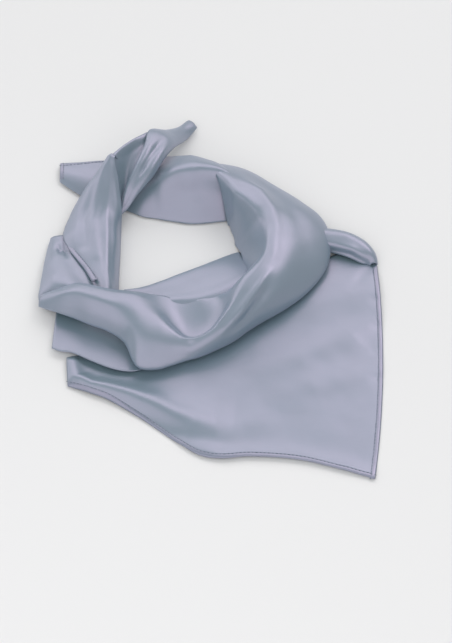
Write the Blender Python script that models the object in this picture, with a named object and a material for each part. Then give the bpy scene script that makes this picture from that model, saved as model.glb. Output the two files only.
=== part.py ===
"""Satin neck scarf: a hemmed square folded corner to corner, rolled and laid in a loose ring.

The ring lies on a table, its point at the lower right and its two ends crossed at the back left.
Each stretch that shows is a wall of cloth, lofted through the upright sections of its own table.
Lengths in the tables are millimetres from the middle of the whole layout, +Y away from the point,
+Z up; an angle is degrees anticlockwise from +X.
"""
import math
from collections import namedtuple

import bpy
from mathutils import Vector

MM = 0.001
WALL = 1.2                      # thickness of a cloth wall
HEM_WALL = 1.0                  # thickness of the layers turned under at a hem
SEAM_GAP = 0.3                  # space kept between the ends of the two hems
PRESSED = 0.1                   # how much of the point's underside is pressed flat on the table
HEM_WIDTH = 3.2                 # turned hem on the free edges of the point
HEM_GAP = 0.45                  # space kept under a hem, more where the cloth bends
STEP_ALONG = 5.2                # spacing of the lofted sections along a stretch
INNER_STEPS, FACE_STEPS, TUCK_STEPS = 6, 7, 2    # points of a section before, after the ridge, under
PANEL_STEP = 6.5                # spacing of the lines across the point
PANEL_ROWS = 20                 # points on each of those lines

# A section stands upright over (x, y) and looks outwards along facing. It runs from its inner end
# through the lip and the ridge, over the outer face, which swells by belly, to the rim, and ends
# tuck inside the rim. The columns inner, lip, outer and tuck are distances in plan. A stretch whose
# first tuck is 0 ends at its rim.
Section = namedtuple(
    "Section", "x y facing top inner inner_z lip lip_z outer outer_z belly tuck tuck_z")

# A fold is a soft line in plan: each of its points has a height, up or down, and a half width.
FoldPoint = namedtuple("FoldPoint", "x y height width")

# A line across the point, from its covered top edge down to the hem, bowed sideways by bow.
PanelLine = namedtuple("PanelLine", "top_x top_y hem_x hem_y bow")

# An upright section of the hidden rolled layers: half as wide as width says, flat underneath.
CoreSection = namedtuple("CoreSection", "x y facing width height")

COWL = (
    Section(3, 76, 110, 26.6, 26, 1, 11, 14, 34, 3, 3, 1, 1.0),
    Section(15, 68, 82, 27, 22, 1, 10, 15, 29.4, 4, 2.5, 4, 1.0),
    Section(24, 58, 60, 27, 21, 1, 9, 15, 28.2, 4, 2.5, 5, 1.0),
    Section(31, 46, 36, 27, 20, 1, 9, 15, 33.8, 5, 3.5, 5, 1.5),
    Section(33.4, 38, 25, 27, 18.5, 2, 8.5, 14.5, 38.4, 5.5, 4.5, 5.5, 2),
    Section(34.6, 30, 14, 27, 17, 3.4, 8, 14, 39.8, 6.5, 5, 6, 2.4),
    Section(35, 16, 0, 27, 15, 4.6, 7, 14.5, 37.4, 6, 5, 6, 2.4),
    Section(33, 4, -15, 27, 12.5, 5.6, 6.5, 15.5, 30.5, 6, 5, 6, 2.4),
    Section(28, -7, -35, 26.5, 11, 6.6, 6, 15, 23, 6, 4, 5, 2.4),
    Section(22, -16, -50, 25.5, 13, 8, 7, 14.5, 18.5, 6, 3, 5, 2.4),
    Section(16, -27, -60, 23.5, 17, 8.4, 8, 13, 14, 6, 2, 5, 2.4),
    Section(9, -37.5, -68, 21, 23, 8.8, 10, 11.4, 11, 6, 2, 4.5, 2.4),
    Section(1, -47, -76, 18, 30, 9.2, 12, 9.2, 7.5, 6, 1.5, 4, 2.4),
    Section(-8, -52, -86, 16, 33, 9.6, 13, 8.6, 8, 6, 1.5, 4, 2.4),
    Section(-15, -52.5, -90, 15.2, 32, 10.4, 14, 9.8, 10, 6, 1.5, 4, 2.4),
    Section(-22, -48.5, -92, 15.5, 29, 12, 15, 12.6, 17, 6, 1.5, 5, 2.4),
    Section(-30, -41.7, -95, 17, 24, 13, 19, 17, 27, 6, 2, 6, 2.4),
    Section(-39, -37, -99, 19, 18, 17, 14.5, 20, 31, 7.5, 3, 6, 4.4),
    Section(-48, -34, -100, 21, 14.5, 20, 12, 22.3, 18, 9.5, 2, 5, 7.8),
    Section(-60, -31, -96, 22, 11, 21.5, 8.5, 23.5, 12, 10, 1.5, 4, 8.4),
    Section(-72, -26, -95, 22, 9.5, 21, 7, 22.6, 11.5, 10, 1.5, 4, 8.4),
    Section(-81.5, -21.5, -95, 20.6, 8.5, 19.4, 6, 20.8, 11, 10, 1.5, 4, 8.2),
    Section(-91, -20, -95, 17, 7, 15.6, 4.5, 17, 8, 9.5, 1, 3.5, 7.6),
    Section(-99, -18.8, -95, 12.5, 5.5, 11.4, 3.5, 12.4, 5, 8, 0.8, 3, 6.2),
    Section(-104, -17.5, -95, 9.4, 4, 8.4, 2, 9.2, 3, 6.6, 0.5, 2, 5.4),
)

BACK_BAND = (
    Section(7, 75.6, 107, 23.8, 20, 1, 10, 12, 25, 2.4, 2, 3, 0.9),
    Section(-1, 77.6, 109, 24.6, 23.4, 1, 11, 12.6, 29.5, 2.4, 2, 3, 0.9),
    Section(-8, 78, 101, 25.2, 25.4, 1, 11, 14, 33, 2.4, 2.5, 3, 0.9),
    Section(-15, 77.5, 93, 25.2, 25, 1, 11, 15, 34, 2.4, 2.5, 4, 0.9),
    Section(-23, 78, 92, 22.6, 24, 1, 11, 14, 34.5, 2.4, 2, 4, 0.9),
    Section(-31, 77, 94, 18.4, 21.5, 1, 10, 12.6, 35, 2.4, 1.5, 4, 0.9),
    Section(-38, 77, 96, 13.6, 20, 1, 9, 9.4, 34, 2.4, 1.2, 4, 0.9),
    Section(-46, 78, 98, 10, 19.5, 1, 9, 7.4, 31, 2.4, 1, 4, 0.9),
    Section(-57, 82, 100, 7.6, 18.5, 1, 9, 6, 26, 2.4, 1, 4, 0.9),
    Section(-70, 85, 100, 6, 16, 1, 8, 4.8, 22, 2.6, 0.8, 3, 0.7),
    Section(-84, 90, 96, 4.6, 14, 1.5, 7, 3.6, 15.5, 2.4, 0.5, 2.5, 0.7),
    Section(-98, 96, 92, 3.6, 7.5, 1.6, 4, 3, 8.5, 2.2, 0.3, 2, 0.7),
)

LEFT_BAND = (
    Section(-62, -19, 185, 14.5, 5, 4, 3.5, 10, 5, 12, 1, 0, 0),
    Section(-63, -9, 185, 14.5, 6, 1.6, 4.5, 9, 8, 12, 1, 0, 0),
    Section(-66, 4, 185, 14.5, 9, 1.2, 6.5, 10, 11, 12, 1, 0, 0),
    Section(-68, 17, 182, 15, 11, 1, 8, 11, 16, 10.8, 1.5, 0, 0),
    Section(-70, 32, 178, 15.5, 13, 1, 10, 12, 22, 8.2, 2, 0, 0),
    Section(-71, 43, 175, 16, 14, 1, 10.5, 12.5, 21, 5.5, 2.5, 0, 0),
    Section(-71, 50, 172, 17, 14.4, 6, 11, 13.5, 19, 5.6, 2.5, 0, 0),
    Section(-70.5, 56, 170, 18.5, 14.2, 12.4, 10.5, 16, 17.5, 7, 2.5, 0, 0),
    Section(-69, 67, 165, 22.5, 11.8, 17.4, 8, 20.8, 12.8, 12, 2, 0, 0),
    Section(-67, 76.5, 158, 27, 8.5, 22.6, 5, 25.4, 7.2, 18, 1.2, 0, 0),
    Section(-64.5, 82.5, 152, 29.6, 3.8, 27.6, 2, 28.8, 3.8, 24.6, 0.6, 0, 0),
    Section(-63.2, 85.8, 150, 30, 2.6, 29.4, 1.3, 29.8, 2.4, 27, 0.3, 0, 0),
)

LEFT_PLEATS = (
    (FoldPoint(-61, -10, -1.2, 2), FoldPoint(-65.5, 43, -1.8, 2.4), FoldPoint(-62.5, 76, -1, 2.2)),
    (FoldPoint(-71, 14, -0.6, 3), FoldPoint(-75.5, 43, -1.4, 3), FoldPoint(-70, 70, -0.8, 3)),
    (FoldPoint(-78, 22, 0.8, 3), FoldPoint(-80.5, 44, 1.2, 3), FoldPoint(-75, 66, 0.8, 3)),
)

LEFT_WING = (
    Section(-97.5, 38, 185, 4.6, 4.5, 4.2, 2.5, 4.7, 3.4, 3, 0.4, 0.8, 0.9),
    Section(-96.5, 26, 185, 7.6, 8, 5.6, 4.5, 7, 6, 3.6, 0.8, 2.2, 1.0),
    Section(-94.5, 15, 184, 10.2, 11.5, 7.4, 6, 9.4, 9, 4.4, 1, 3.5, 1.0),
    Section(-91.5, 5, 183, 12.8, 15, 8.6, 7, 11.6, 12.5, 5, 1.2, 4, 1.0),
    Section(-88, -4, 182, 15, 16.5, 9.2, 8, 13, 16.5, 5.4, 1.5, 4, 1.0),
    Section(-84.5, -11, 180, 16.2, 15.5, 9.4, 8, 13.8, 20.5, 5.6, 1, 4, 1.0),
    Section(-82.5, -15.5, 180, 16.2, 13.5, 9.4, 7, 13.6, 22, 5.6, -1, 4, 1.2),
)

SCOOP = (
    Section(-56.6, 65, 8, 12, 2, 12.8, 1, 12.4, 1.8, 12.2, 0, 0, 0),
    Section(-55, 71, 8, 14, 4, 17, 2, 15, 3.4, 15.6, 0, 0, 0),
    Section(-53.4, 83, 30, 18.4, 8, 23.2, 4, 20, 8.4, 21.4, 0, 0, 0),
    Section(-52.2, 92.6, 42, 22.8, 12.2, 26.8, 6, 24.2, 13, 22.8, 0, 0, 0),
    Section(-50.8, 101, 48, 27.6, 17.6, 28, 9, 28.4, 14, 24, 0, 0, 0),
    Section(-52, 104, 48, 22, 17.6, 22.6, 9, 22.4, 15, 19, 0, 0, 0),
    Section(-53, 106, 48, 15.4, 17.4, 16, 9, 15.8, 15.5, 13, 0, 0, 0),
    Section(-53.6, 107.2, 48, 10.6, 17.2, 11.4, 9, 11, 15.5, 9, 0, 0, 0),
)

CROSSING_END = (
    Section(-58.6, 54.8, -30, 9.2, 1.6, 8.4, 1, 9, 2, 8, 0.3, 0, 0),
    Section(-56, 58.5, -30, 11.5, 2, 10.6, 1.2, 11.3, 3, 9.4, 0.4, 0, 0),
    Section(-51, 67, -30, 19, 3.4, 18.2, 2, 18.8, 5, 14.5, 0.8, 0, 0),
    Section(-44, 79.5, -28, 25, 4.4, 24, 2.4, 24.8, 7.5, 17.1, 1.5, 0, 0),
    Section(-37.4, 94, -26, 27.4, 6, 27, 3.2, 27.6, 8, 17.1, 1.5, 0, 0),
    Section(-31.5, 108, -28, 24.6, 9.6, 25.6, 4.8, 26, 8, 12, 1.5, 0, 0),
    Section(-25, 119.6, -34, 15.6, 6, 14.8, 3, 15.8, 6.6, 7, 1, 0, 0),
    Section(-18.6, 129.8, -42, 8.8, 4.8, 7.4, 2.6, 8.6, 4.8, 4.6, 0.6, 0, 0),
    Section(-13.6, 138, -46, 5.6, 4.6, 4.6, 2.6, 5.4, 4, 3.4, 0.4, 0, 0),
    Section(-12.6, 139.8, -46, 4.8, 4.2, 4, 2.4, 4.6, 3.6, 2.8, 0.2, 0, 0),
)

UNDER_LAYER = (
    Section(-94.5, -36, 268, 3.6, 11, 5.6, 6, 4.6, 15, 3.4, -0.3, 0, 0),
    Section(-89, -38, 268, 3.2, 11, 5.8, 6, 4.4, 15.5, 3.4, -0.3, 0, 0),
    Section(-82, -40, 268, 3, 10, 6.2, 6, 4.4, 15, 3.4, -0.3, 0, 0),
    Section(-71, -46, 270, 3, 11, 6.2, 6, 4.6, 14, 3.4, -0.3, 0, 0),
    Section(-60, -52, 272, 3, 12, 6.2, 6, 4.6, 12.5, 3.4, -0.3, 0, 0),
    Section(-53, -56, 274, 2.8, 9, 4.8, 5, 3.8, 10, 3, -0.3, 0, 0),
    Section(-49, -58.5, 276, 2.6, 6, 3.8, 3, 3.2, 7.6, 2.6, -0.2, 0, 0),
)

INNER_FOLD = (
    Section(-53, -8, -84, 7.4, 1.6, 1.6, 1, 5.4, 8, 7.4, 0, 0, 0),
    Section(-43, -6.5, -80, 7.4, 2.2, 1, 1.6, 5, 13, 7.4, 0.3, 0, 0),
    Section(-31, -1.4, -66, 7.2, 2.6, 1, 1.8, 4.8, 22, 6.8, 0.4, 0, 0),
    Section(-19, 5.2, -62, 7, 2.8, 1, 2, 4.6, 28, 6.2, 0.4, 0, 0),
    Section(-7, 11.8, -60, 6.6, 3, 1, 2, 4.4, 30, 6, 0.4, 0, 0),
    Section(5, 19.2, -58, 4.4, 3, 1, 2, 3.2, 28, 4.4, 0.3, 0, 0),
    Section(13.5, 24.6, -58, 2.4, 2.4, 0.8, 1.6, 1.6, 17, 2, 0.1, 0, 0),
    Section(18, 27.2, -58, 1.4, 1.6, 0.7, 1, 1.1, 10, 1.2, 0, 0, 0),
)

RIGHT_TURN = (
    Section(75.4, 34, 90, 10, 8, 5, 5, 8.6, 8.4, 6.5, 1.5, 8, 0.8),
    Section(86, 31, 88, 10, 9, 5, 5.5, 8.4, 8.6, 6.5, 1.5, 8, 0.8),
    Section(95, 26.4, 78, 9.2, 8.8, 4.8, 5.4, 7.6, 8.4, 6, 1.5, 7, 0.8),
    Section(101, 20.6, 58, 7.4, 5.2, 4.4, 3.4, 6.2, 5.4, 4.8, 1, 3.2, 0.8),
    Section(103.2, 17.2, 34, 4.8, 2.6, 3.6, 1.6, 4.4, 2.4, 3.0, 0.4, 1, 0.8),
)

POINT_PANEL = (
    PanelLine(-86, -56.5, -84.3, -73.5, 0),
    PanelLine(-70, -52, -71, -79, 0),
    PanelLine(-55, -54, -59, -85.5, 0),
    PanelLine(-40, -56, -41, -98, 0),
    PanelLine(-27, -54, -29, -108, 0),
    PanelLine(-14, -49, -17.5, -118, 0),
    PanelLine(-2, -43, -6, -126, 0),
    PanelLine(9, -36, 6, -128.5, 0),
    PanelLine(23, -26, 23, -127.5, 0),
    PanelLine(44, -13, 51, -130, 0),
    PanelLine(62, 6, 76, -137, 1),
    PanelLine(73, 24, 85, -140.2, 2),
    PanelLine(86, 28.5, 89, -141.4, 2.5),
    PanelLine(97, 22, 91.6, -142.3, 3),
    PanelLine(105.4, 13, 93.5, -143, 3),
)

PANEL_FOLDS = (
    (FoldPoint(-85, -62, 3.6, 5), FoldPoint(-80, -69, 4.4, 4.5), FoldPoint(-71, -75.5, 4.6, 3.6),
     FoldPoint(-53, -81, 4.8, 4.5), FoldPoint(-41, -85.5, 4.4, 6), FoldPoint(-24, -95.5, 3.4, 7),
     FoldPoint(-6, -104.5, 2.4, 8), FoldPoint(8, -106, 1.2, 9)),
    (FoldPoint(34, -58, 0.4, 8), FoldPoint(70, -42, 2.0, 9), FoldPoint(101, -52, 1.6, 8)),
    (FoldPoint(20, -84, 0.4, 10), FoldPoint(58, -76, 1.8, 10), FoldPoint(98, -84, 1.4, 10)),
)

ROLL_CORE = (
    CoreSection(-24, 85, 92, 11, 12),
    CoreSection(-6, 84, 96, 11.5, 15.6),
    CoreSection(13, 76, 80, 11, 17),
    CoreSection(31, 62, 52, 13, 18),
    CoreSection(42, 46, 30, 14, 18),
    CoreSection(46, 26, 8, 14, 18),
    CoreSection(41, 8, -14, 10, 15),
)

SATIN = (0.34, 0.36, 0.44)
HEM_SATIN = (0.29, 0.31, 0.39)
ROLLED_SATIN = (0.24, 0.27, 0.33)


def smooth_values(rows, spots, at):
    """One row read from a smooth curve through the rows, which stand at the given spots."""
    last = len(rows) - 1
    here = max(i for i in range(last) if spots[i] <= at or i == 0)
    span = spots[here + 1] - spots[here]
    t = min(1.0, max(0.0, (at - spots[here]) / span))

    def slope(i, column):
        low, high = max(0, i - 1), min(last, i + 1)
        return (rows[high][column] - rows[low][column]) / (spots[high] - spots[low]) * span

    values = []
    for column in range(len(rows[0])):
        start, end = rows[here][column], rows[here + 1][column]
        values.append(
            (2 * t ** 3 - 3 * t ** 2 + 1) * start + (t ** 3 - 2 * t ** 2 + t) * slope(here, column)
            + (3 * t ** 2 - 2 * t ** 3) * end + (t ** 3 - t ** 2) * slope(here + 1, column))
    return values


def running_length(points):
    """Distance of each point from the first, measured from point to point."""
    spots = [0.0]
    for one, other in zip(points, points[1:]):
        spots.append(spots[-1] + max(0.01, math.dist(one, other)))
    return spots


def even_rows(table, step):
    """The table's rows read again at an even step along the stretch."""
    spots = running_length([row[:2] for row in table])
    count = max(2, round(spots[-1] / step) + 1)
    return [type(table[0])(*smooth_values(table, spots, spots[-1] * i / (count - 1)))
            for i in range(count)]


def section_knots(row, tucked):
    """The points (distance outwards, height) that a section's cloth passes through."""
    fall = row.top - row.outer_z
    length = math.hypot(row.outer, fall)
    out_x, out_z = fall / length * row.belly, row.outer / length * row.belly
    knots = [(-row.inner, row.inner_z), (-row.lip, row.lip_z), (0.0, row.top)]
    for share, swell in ((0.36, 0.96), (0.72, 0.8)):
        knots.append((share * row.outer + swell * out_x, row.top - share * fall + swell * out_z))
    knots.append((row.outer, row.outer_z))
    if tucked:
        knots.append((row.outer - row.tuck, row.tuck_z))
    return knots


def section_places(spots):
    """Where a section's points lie along it: one of them is always on the ridge, one on the rim."""
    ridge, rim = spots[2], spots[5]
    places = [ridge * i / INNER_STEPS for i in range(INNER_STEPS)]
    places += [ridge + (rim - ridge) * i / FACE_STEPS for i in range(FACE_STEPS + 1)]
    if len(spots) > 6:
        places += [rim + (spots[6] - rim) * i / TUCK_STEPS for i in range(1, TUCK_STEPS + 1)]
    return places


def stretch_grid(table, folds=()):
    """Rows of points for a stretch of cloth, one row for each section."""
    grid = []
    tucked = table[0].tuck > 0
    for row in even_rows(table, STEP_ALONG):
        knots = section_knots(row, tucked)
        spots = running_length(knots)
        ahead = Vector((math.cos(math.radians(row.facing)), math.sin(math.radians(row.facing))))
        line = []
        for place in section_places(spots):
            out, z = smooth_values(knots, spots, place)
            x, y = row.x + out * ahead.x, row.y + out * ahead.y
            line.append(Vector((x, y, z + fold_height(folds, x, y))))
        grid.append(line)
    return grid


def fold_height(folds, x, y):
    """Height that soft folds add at a place in plan."""
    height = 0.0
    for fold in folds:
        nearest = None
        for one, other in zip(fold, fold[1:]):
            run = Vector((other.x - one.x, other.y - one.y))
            t = (Vector((x, y)) - Vector((one.x, one.y))).dot(run) / run.length_squared
            t = min(1.0, max(0.0, t))
            away = math.dist((x, y), (one.x + t * run.x, one.y + t * run.y))
            if nearest is None or away < nearest[0]:
                nearest = (away, one.height + t * (other.height - one.height),
                           one.width + t * (other.width - one.width))
        away, peak, width = nearest
        height += peak * math.exp(-(away / width) ** 2)
    return height


def panel_point(line, share):
    """A point on the triangle, some share of the way down one of its lines."""
    x = line.top_x + share * (line.hem_x - line.top_x) + 4 * line.bow * share * (1 - share)
    y = line.top_y + share * (line.hem_y - line.top_y)
    return Vector((x, y, WALL / 2 - PRESSED + fold_height(PANEL_FOLDS, x, y)))


def panel_grid():
    """Rows of points all over the triangle."""
    return [[panel_point(line, i / (PANEL_ROWS - 1)) for i in range(PANEL_ROWS)]
            for line in even_rows(POINT_PANEL, PANEL_STEP)]


def front_hem_grid():
    """The strip along the front edge, which stops short of the side hem."""
    grid = []
    for line in even_rows(POINT_PANEL, PANEL_STEP):
        length = math.dist((line.top_x, line.top_y), (line.hem_x, line.hem_y))
        x = min(line.hem_x, POINT_PANEL[-1].hem_x - HEM_WIDTH - SEAM_GAP)
        line = line._replace(hem_x=x)
        grid.append([panel_point(line, 1 - HEM_WIDTH / length * (1 - i / 2)) for i in range(3)])
        if x < line.hem_x:
            break
    return [row for row, after in zip(grid, grid[1:] + [None])
            if after is None or math.dist(row[-1][:2], after[-1][:2]) > 0.5]


def side_hem_grid():
    """The strip along the right edge."""
    edge, inside = POINT_PANEL[-1], POINT_PANEL[-1]._replace(
        top_x=POINT_PANEL[-1].top_x - HEM_WIDTH, hem_x=POINT_PANEL[-1].hem_x - HEM_WIDTH)
    grid = []
    for i in range(1, PANEL_ROWS):
        outer = panel_point(edge, i / (PANEL_ROWS - 1))
        inner = panel_point(inside, i / (PANEL_ROWS - 1))
        grid.append([outer, (outer + inner) / 2, inner])
    return grid


def surface_normals(grid):
    """The outward normal at each point of a grid."""
    rows, columns = len(grid), len(grid[0])
    normals = []
    for r in range(rows):
        line = []
        for c in range(columns):
            along = grid[min(r + 1, rows - 1)][c] - grid[max(r - 1, 0)][c]
            across = grid[r][min(c + 1, columns - 1)] - grid[r][max(c - 1, 0)]
            line.append(across.cross(along).normalized())
        normals.append(line)
    return normals


def lifted(grid, height):
    """A grid moved out along its normals."""
    return [[point + normal * height for point, normal in zip(row, normal_row)]
            for row, normal_row in zip(grid, surface_normals(grid))]


def closed_wall(grid, thickness):
    """Points and faces of a wall with the grid in its middle, flat where it meets the table."""
    rows, columns = len(grid), len(grid[0])
    points = []
    for side in (thickness / 2, -thickness / 2):
        for row in lifted(grid, side):
            points += [(point.x, point.y, max(0.0, point.z)) for point in row]
    half = rows * columns
    faces = []
    for r in range(rows - 1):
        for c in range(columns - 1):
            a, b = r * columns + c, r * columns + c + 1
            d, e = a + columns, b + columns
            faces.append((a, b, e, d))
            faces.append((half + a, half + d, half + e, half + b))
    border = list(range(columns))
    border += [r * columns + columns - 1 for r in range(1, rows)]
    border += [(rows - 1) * columns + c for c in range(columns - 2, -1, -1)]
    border += [r * columns for r in range(rows - 2, 0, -1)]
    for a, b in zip(border, border[1:] + border[:1]):
        faces.append((b, a, half + a, half + b))
    return points, faces


def core_solid():
    """Points and faces of the rolled layers inside the ring: a rounded bar, flat underneath."""
    arc_points = 9
    points, faces = [], []
    rows = even_rows(ROLL_CORE, 8.0)
    for row in rows:
        ahead = Vector((math.cos(math.radians(row.facing)), math.sin(math.radians(row.facing))))
        for i in range(arc_points):
            turn = math.pi * i / (arc_points - 1)
            out, z = -row.width * math.cos(turn), row.height * math.sin(turn) ** 0.8
            points.append((row.x + out * ahead.x, row.y + out * ahead.y, z))
    for r in range(len(rows) - 1):
        for i in range(arc_points):
            a, b = r * arc_points + i, r * arc_points + (i + 1) % arc_points
            faces.append((b, a, a + arc_points, b + arc_points))
    start = (len(rows) - 1) * arc_points
    faces.append(tuple(range(arc_points)))
    faces.append(tuple(range(start + arc_points - 1, start - 1, -1)))
    return points, faces


def add_piece(name, points, faces, colour):
    """One named solid in metres, with its own satin."""
    mesh = bpy.data.meshes.new(name)
    mesh.from_pydata([tuple(MM * value for value in point) for point in points], [], faces)
    mesh.shade_smooth()
    mesh.set_sharp_from_angle(angle=math.radians(50))
    material = bpy.data.materials.new(name + "_satin")
    material.use_nodes = True
    shader = material.node_tree.nodes["Principled BSDF"]
    shader.inputs["Base Color"].default_value = (*colour, 1.0)
    shader.inputs["Roughness"].default_value = 0.38
    shader.inputs["Metallic"].default_value = 0.0
    mesh.materials.append(material)
    piece = bpy.data.objects.new(name, mesh)
    bpy.context.collection.objects.link(piece)
    return piece


for old in list(bpy.data.objects):
    bpy.data.objects.remove(old, do_unlink=True)

STRETCHES = {
    "cowl": (COWL, ()),
    "back_band": (BACK_BAND, ()),
    "left_band": (LEFT_BAND, LEFT_PLEATS),
    "left_wing": (LEFT_WING, ()),
    "crossing_scoop": (SCOOP, ()),
    "crossing_end": (CROSSING_END, ()),
    "under_layer": (UNDER_LAYER, ()),
    "inner_fold": (INNER_FOLD, ()),
    "right_turn": (RIGHT_TURN, ()),
}
for stretch_name, (stretch_table, stretch_folds) in STRETCHES.items():
    stretch_wall = closed_wall(stretch_grid(stretch_table, stretch_folds), WALL)
    add_piece(stretch_name, *stretch_wall, SATIN)

add_piece("point_panel", *closed_wall(panel_grid(), WALL), SATIN)
hem_lift = WALL / 2 + HEM_GAP + HEM_WALL / 2
add_piece("hem_front", *closed_wall(lifted(front_hem_grid(), hem_lift), HEM_WALL), HEM_SATIN)
add_piece("hem_side", *closed_wall(lifted(side_hem_grid(), hem_lift), HEM_WALL), HEM_SATIN)
add_piece("roll_core", *core_solid(), ROLLED_SATIN)
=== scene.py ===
"""Looks of a satin neck scarf that lies rolled in a loose ring, its point at the lower right.

Sizes are millimetres from the middle of the whole layout, +Y away from the point, +Z up, and an
angle is degrees anticlockwise from +X. A mesh turns them into metres as it is made.
"""

import math
from collections import namedtuple

import bpy
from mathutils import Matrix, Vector, noise


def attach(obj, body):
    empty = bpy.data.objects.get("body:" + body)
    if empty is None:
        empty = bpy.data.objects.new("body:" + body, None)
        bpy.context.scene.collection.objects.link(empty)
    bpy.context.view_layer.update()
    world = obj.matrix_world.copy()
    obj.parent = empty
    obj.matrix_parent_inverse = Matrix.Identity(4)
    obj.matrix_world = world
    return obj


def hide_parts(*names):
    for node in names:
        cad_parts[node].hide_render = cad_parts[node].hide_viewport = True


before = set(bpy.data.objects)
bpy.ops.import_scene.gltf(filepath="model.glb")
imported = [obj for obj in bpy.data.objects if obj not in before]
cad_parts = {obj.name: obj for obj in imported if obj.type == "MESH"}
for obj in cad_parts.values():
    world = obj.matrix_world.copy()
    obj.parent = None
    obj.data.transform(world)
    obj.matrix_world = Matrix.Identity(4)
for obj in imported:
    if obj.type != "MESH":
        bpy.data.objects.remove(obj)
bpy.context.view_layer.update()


# The point
# The lower right corner of the square, laid out in one layer: a broad triangle of satin that starts
# under the ring, rises in a soft fold along its left side and lies flat towards its hemmed edges.

MM = 0.001
CLOTH = 0.45                    # thickness of one layer of satin, with its nap
LOWEST = CLOTH / 2 + 0.05       # height of the middle of a layer that lies on the table
PANEL_HEIGHT = CLOTH / 2 + 0.1
LINE_STEP, LINE_POINTS = 1.3, 96    # spacing of the lines across the point, points on each
SOFT, SHARP = 2, 1.15           # how a fold falls away at its sides: the lower, the sharper
WAVES = ((0.1, 11), (0.3, 27))  # height and length of the slight waves of cloth that lies free
STREAK_LENGTH, STREAK_WIDTH = 9, 0.55    # the satin's floats, as coarse as they are drawn
DRIFT_LENGTH = 18               # spacing of its slow changes of tone

# A line across the point, from its covered top edge down to the hem, bowed sideways by bow.
PanelLine = namedtuple("PanelLine", "top_x top_y hem_x hem_y bow")

# A fold is a line on the cloth. Each of its points has a place, along the stretch and out from its
# ridge (on the point: x and y), how far it lifts the cloth, or sinks it, and a half width.
Fold = namedtuple("Fold", "along out height width")

POINT_PANEL = (
    PanelLine(-86, -56.5, -84.3, -77.5, 0),
    PanelLine(-70, -52, -71, -83.2, 0),
    PanelLine(-55, -54, -59, -88.8, 0),
    PanelLine(-40, -56, -41, -101, 0),
    PanelLine(-27, -54, -29, -110.6, 0),
    PanelLine(-14, -49, -17.5, -120, 0),
    PanelLine(-2, -43, -6, -128, 0),
    PanelLine(9, -36, 6, -130.6, 0),
    PanelLine(23, -26, 23, -129.2, 0),
    PanelLine(44, -13, 51, -131.6, 0),
    PanelLine(62, 6, 76, -138.6, 1),
    PanelLine(73, 24, 85, -141.6, 2),
    PanelLine(86, 30, 89, -142.8, 2.5),
    PanelLine(96, 28, 91.6, -143.7, 3.5),
    PanelLine(102, 25, 93.5, -144.4, 4.6),
)

PANEL_FOLDS = (
    (Fold(-83, -61, 3.4, 5), Fold(-80, -72, 3.6, 5), Fold(-71, -78, 3.6, 5),
     Fold(-59, -82, 3.8, 6), Fold(-47, -86.6, 4, 7), Fold(-35, -92.5, 4, 8),
     Fold(-23, -99.4, 3.6, 8), Fold(-11, -105, 2.8, 9), Fold(2, -108, 1.6, 10),
     Fold(18, -104, 0.7, 12), Fold(40, -96, 0, 14)),
    (Fold(-74, -73, 1.4, 7), Fold(-50, -81, 2.2, 9), Fold(-28, -89, 2.2, 11),
     Fold(-5, -96, 1.6, 13), Fold(14, -98, 0, 14)),
    (Fold(-14, -121, 1, 7), Fold(6, -129, 1.8, 7), Fold(51, -132, 1.8, 7), Fold(76, -139, 1.6, 7),
     Fold(94, -144, 0.8, 6)),
    (Fold(66, -6, 1.6, 22), Fold(100, -2, 2, 22)),
    (Fold(99, 17, -0.5, 3), Fold(92, 6, -1.0, 3.5), Fold(84, -5, 0, 4)),
    (Fold(101, -12, -0.3, 2.5), Fold(95, -11, 0, 3)),
    (Fold(101, -32, -0.25, 2.5), Fold(95, -32, 0, 3)),
    (Fold(100, -50, -0.3, 2.5), Fold(94, -51, 0, 3)),
    (Fold(98, -71, -0.25, 2.5), Fold(92, -71, 0, 3)),
    (Fold(17, -73, 0, 10), Fold(53, -54, 1.3, 10), Fold(84, -38, 1.5, 10), Fold(100, -24, 0.4, 8)),
    (Fold(30, -88, 0, 12), Fold(60, -76, 0.9, 12), Fold(97, -65, 0.5, 10)),
)


def smooth_values(rows, spots, at):
    """One row read from a smooth curve through the rows, which stand at the given spots."""
    last = len(rows) - 1
    here = max(i for i in range(last) if spots[i] <= at or i == 0)
    span = spots[here + 1] - spots[here]
    t = min(1.0, max(0.0, (at - spots[here]) / span))
    before, after = max(0, here - 1), min(last, here + 2)
    lead = span / (spots[here + 1] - spots[before])
    trail = span / (spots[after] - spots[here])
    start_share, lead_share = 2 * t ** 3 - 3 * t ** 2 + 1, (t ** 3 - 2 * t ** 2 + t) * lead
    end_share, trail_share = 3 * t ** 2 - 2 * t ** 3, (t ** 3 - t ** 2) * trail
    return [start_share * b + lead_share * (c - a) + end_share * c + trail_share * (d - b)
            for a, b, c, d in zip(rows[before], rows[here], rows[here + 1], rows[after])]


def running_length(points):
    """Distance of each point from the first, measured from point to point."""
    spots = [0.0]
    for one, other in zip(points, points[1:]):
        spots.append(spots[-1] + max(0.01, math.dist(one, other)))
    return spots


def even_rows(table, step):
    """The table's rows read again at an even step along the stretch."""
    spots = running_length([row[:2] for row in table])
    count = max(2, round(spots[-1] / step) + 1)
    return [(spots[-1] * i / (count - 1),
             type(table[0])(*smooth_values(table, spots, spots[-1] * i / (count - 1))))
            for i in range(count)]


def laid_folds(folds, place):
    """Folds with their points placed on the cloth, each with its middle and its reach."""
    laid = []
    for fold in folds:
        points = [(place(spot.along, spot.out), spot.height, spot.width) for spot in fold]
        middle = sum((spot for spot, _, _ in points), Vector()) / len(points)
        laid.append((points, middle, max((spot - middle).length + 4 * width
                                         for spot, _, width in points)))
    return laid


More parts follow.
